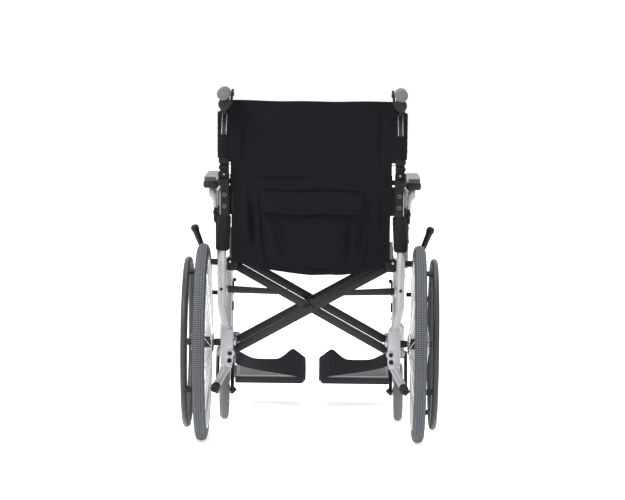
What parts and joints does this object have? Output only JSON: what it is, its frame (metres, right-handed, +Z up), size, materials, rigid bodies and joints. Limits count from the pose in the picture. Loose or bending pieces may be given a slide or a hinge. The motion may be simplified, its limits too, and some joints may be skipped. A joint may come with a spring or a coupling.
{
  "type": "wheelchair",
  "caption": "Self-propelled folding wheelchair with a scissor brace, swing-away footrests, flip-up armrests, half-folding back and wheel locks.",
  "frame": {"origin": "on the floor, under the middle of the chair's bounding box", "axes": "+Z up, +Y forward as the sitter faces, +X to the sitter's right"},
  "size_m": [0.671, 1.0475, 0.9445],
  "materials": {
    "silver_paint": "satin silver paint",
    "bright_metal": "polished",
    "black_coat": "black coating",
    "black_fabric": "woven",
    "tyre_rubber": "matte",
    "castor_rubber": "matte",
    "rim_grey": "semi gloss",
    "grip_grey": "matte",
    "plate_grey": "moulded"
  },
  "bodies": {
    "left_side": {"side_frame_l": "silver_paint", "axle_block_l": "silver_paint", "tip_cap_l": "black_coat", "axle_l": "bright_metal", "back_hinge_l": "black_coat", "lower_sleeve_l": "black_fabric", "brake_base_l": "black_coat", "back_panel_lower": "black_fabric"},
    "right_side": {"side_frame_r": "silver_paint", "axle_block_r": "silver_paint", "tip_cap_r": "black_coat", "axle_r": "bright_metal", "back_hinge_r": "black_coat", "lower_sleeve_r": "black_fabric", "brake_base_r": "black_coat"},
    "cross_arm_a": {"cross_arm_a": "black_coat", "cross_bolt_rear": "bright_metal", "cross_bolt_front": "bright_metal"},
    "cross_arm_b": {"cross_arm_b": "black_coat", "seat_sling": "black_fabric"},
    "link_l": {"link_l": "black_coat"},
    "rear_wheel_l": {"wheel_l": "bright_metal", "tyre_l": "tyre_rubber", "handrim_l": "rim_grey"},
    "castor_fork_l": {"castor_fork_l": "black_coat"},
    "castor_l": {"castor_wheel_l": "castor_rubber", "castor_tyre_l": "castor_rubber"},
    "hanger_l": {"hanger_l": "silver_paint"},
    "hanger_latch_l": {"hanger_latch_l": "black_coat"},
    "footplate_l": {"footplate_l": "plate_grey", "heel_loop_l": "black_fabric"},
    "armrest_l": {"armrest_tube_l": "silver_paint", "arm_pad_l": "black_coat", "skirt_guard_l": "black_coat"},
    "back_post_l": {"back_post_l": "black_coat", "push_grip_l": "grip_grey", "back_panel_upper": "black_fabric"},
    "attendant_lever_l": {"attendant_lever_l": "black_coat"},
    "brake_lever_l": {"brake_lever_l": "black_coat"},
    "back_lock_l": {"back_lock_l": "black_coat"},
    "link_r": {"link_r": "black_coat"},
    "rear_wheel_r": {"wheel_r": "bright_metal", "tyre_r": "tyre_rubber", "handrim_r": "rim_grey"},
    "castor_fork_r": {"castor_fork_r": "black_coat"},
    "castor_r": {"castor_wheel_r": "castor_rubber", "castor_tyre_r": "castor_rubber"},
    "hanger_r": {"hanger_r": "silver_paint"},
    "hanger_latch_r": {"hanger_latch_r": "black_coat"},
    "footplate_r": {"footplate_r": "plate_grey", "heel_loop_r": "black_fabric"},
    "armrest_r": {"armrest_tube_r": "silver_paint", "arm_pad_r": "black_coat", "skirt_guard_r": "black_coat"},
    "back_post_r": {"back_post_r": "black_coat", "push_grip_r": "grip_grey"},
    "attendant_lever_r": {"attendant_lever_r": "black_coat"},
    "brake_lever_r": {"brake_lever_r": "black_coat"},
    "back_lock_r": {"back_lock_r": "black_coat"}
  },
  "joints": [
    {"name": "fold", "type": "hinge", "parent": "left_side", "child": "cross_arm_a", "pos_m": [-0.211, -0.05125, 0.236], "axis": [0, -1, 0], "range_deg": [0, 45.9], "deforming": ["seat_sling", "back_panel_lower", "back_panel_upper"]},
    {"name": "centre_pivot", "type": "hinge", "parent": "cross_arm_a", "child": "cross_arm_b", "pos_m": [0, -0.05125, 0.353], "axis": [0, -1, 0], "range_deg": [-91.8, 0]},
    {"name": "right_pivot", "type": "hinge", "parent": "cross_arm_b", "child": "right_side", "pos_m": [0.211, -0.05125, 0.236], "axis": [0, -1, 0], "range_deg": [0, 45.9]},
    {"name": "link_swing_l", "type": "hinge", "parent": "left_side", "child": "link_l", "pos_m": [-0.226, -0.20125, 0.397], "axis": [0, -1, 0], "range_deg": [0, 70.9]},
    {"name": "wheel_spin_l", "type": "hinge", "parent": "left_side", "child": "rear_wheel_l", "pos_m": [-0.287, -0.26125, 0.2625], "axis": [1, 0, 0], "continuous": true},
    {"name": "castor_swivel_l", "type": "hinge", "parent": "left_side", "child": "castor_fork_l", "pos_m": [-0.243, 0.18275, 0.19], "axis": [0, 0, 1], "continuous": true},
    {"name": "castor_spin_l", "type": "hinge", "parent": "castor_fork_l", "child": "castor_l", "pos_m": [-0.243, 0.13275, 0.0815], "axis": [1, 0, 0], "continuous": true},
    {"name": "hanger_swing_l", "type": "hinge", "parent": "left_side", "child": "hanger_l", "pos_m": [-0.2365, 0.17575, 0.286], "axis": [0, 0, 1], "range_deg": [0, 90]},
    {"name": "hanger_latch_turn_l", "type": "hinge", "parent": "hanger_l", "child": "hanger_latch_l", "pos_m": [-0.2365, 0.17575, 0.36], "axis": [0, 0, -1], "range_deg": [0, 25]},
    {"name": "footplate_flip_l", "type": "hinge", "parent": "hanger_l", "child": "footplate_l", "pos_m": [-0.236, 0.43875, 0.0905], "axis": [0, -1, 0], "range_deg": [0, 96.4], "deforming": ["heel_loop_l"]},
    {"name": "armrest_flip_l", "type": "hinge", "parent": "left_side", "child": "armrest_l", "pos_m": [-0.2546, -0.23125, 0.606], "axis": [1, 0, 0], "range_deg": [0, 95]},
    {"name": "back_fold_l", "type": "hinge", "parent": "left_side", "child": "back_post_l", "pos_m": [-0.2315, -0.30986, 0.7118], "axis": [1, 0, 0], "range_deg": [0, 125]},
    {"name": "attendant_lever_pull_l", "type": "hinge", "parent": "back_post_l", "child": "attendant_lever_l", "pos_m": [-0.23, -0.33126, 0.87], "axis": [-1, 0, 0], "range_deg": [0, 25]},
    {"name": "wheel_lock_l", "type": "hinge", "parent": "left_side", "child": "brake_lever_l", "pos_m": [-0.2985, -0.00325, 0.454], "axis": [-1, 0, 0], "range_deg": [0, 11]},
    {"name": "back_lock_release_l", "type": "hinge", "parent": "left_side", "child": "back_lock_l", "pos_m": [-0.2315, -0.26416, 0.67107], "axis": [-1, 0, 0], "range_deg": [0, 10]},
    {"name": "link_swing_r", "type": "hinge", "parent": "right_side", "child": "link_r", "pos_m": [0.226, -0.20125, 0.397], "axis": [0, 1, 0], "range_deg": [0, 70.9]},
    {"name": "wheel_spin_r", "type": "hinge", "parent": "right_side", "child": "rear_wheel_r", "pos_m": [0.287, -0.26125, 0.2625], "axis": [1, 0, 0], "continuous": true},
    {"name": "castor_swivel_r", "type": "hinge", "parent": "right_side", "child": "castor_fork_r", "pos_m": [0.243, 0.18275, 0.19], "axis": [0, 0, 1], "continuous": true},
    {"name": "castor_spin_r", "type": "hinge", "parent": "castor_fork_r", "child": "castor_r", "pos_m": [0.243, 0.13275, 0.0815], "axis": [1, 0, 0], "continuous": true},
    {"name": "hanger_swing_r", "type": "hinge", "parent": "right_side", "child": "hanger_r", "pos_m": [0.2365, 0.17575, 0.286], "axis": [0, 0, -1], "range_deg": [0, 90]},
    {"name": "hanger_latch_turn_r", "type": "hinge", "parent": "hanger_r", "child": "hanger_latch_r", "pos_m": [0.2365, 0.17575, 0.36], "axis": [0, 0, 1], "range_deg": [0, 25]},
    {"name": "footplate_flip_r", "type": "hinge", "parent": "hanger_r", "child": "footplate_r", "pos_m": [0.236, 0.43875, 0.0905], "axis": [0, 1, 0], "range_deg": [0, 96.4], "deforming": ["heel_loop_r"]},
    {"name": "armrest_flip_r", "type": "hinge", "parent": "right_side", "child": "armrest_r", "pos_m": [0.2546, -0.23125, 0.606], "axis": [1, 0, 0], "range_deg": [0, 95]},
    {"name": "back_fold_r", "type": "hinge", "parent": "right_side", "child": "back_post_r", "pos_m": [0.2315, -0.30986, 0.7118], "axis": [1, 0, 0], "range_deg": [0, 125]},
    {"name": "attendant_lever_pull_r", "type": "hinge", "parent": "back_post_r", "child": "attendant_lever_r", "pos_m": [0.23, -0.33126, 0.87], "axis": [-1, 0, 0], "range_deg": [0, 25]},
    {"name": "wheel_lock_r", "type": "hinge", "parent": "right_side", "child": "brake_lever_r", "pos_m": [0.2985, -0.00325, 0.454], "axis": [-1, 0, 0], "range_deg": [0, 11]},
    {"name": "back_lock_release_r", "type": "hinge", "parent": "right_side", "child": "back_lock_r", "pos_m": [0.2315, -0.26416, 0.67107], "axis": [-1, 0, 0], "range_deg": [0, 10]}
  ],
  "couplings": [
    {"joint": "centre_pivot", "follows": "fold", "ratio": -2},
    {"joint": "right_pivot", "follows": "fold", "ratio": 1},
    {"joint": "link_swing_l", "follows": "fold", "ratio": 1.5439},
    {"joint": "footplate_flip_l", "follows": "fold", "ratio": 2.1},
    {"joint": "link_swing_r", "follows": "fold", "ratio": 1.5439},
    {"joint": "footplate_flip_r", "follows": "fold", "ratio": 2.1},
    {"joint": "back_fold_r", "follows": "back_fold_l", "ratio": 1}
  ]
}
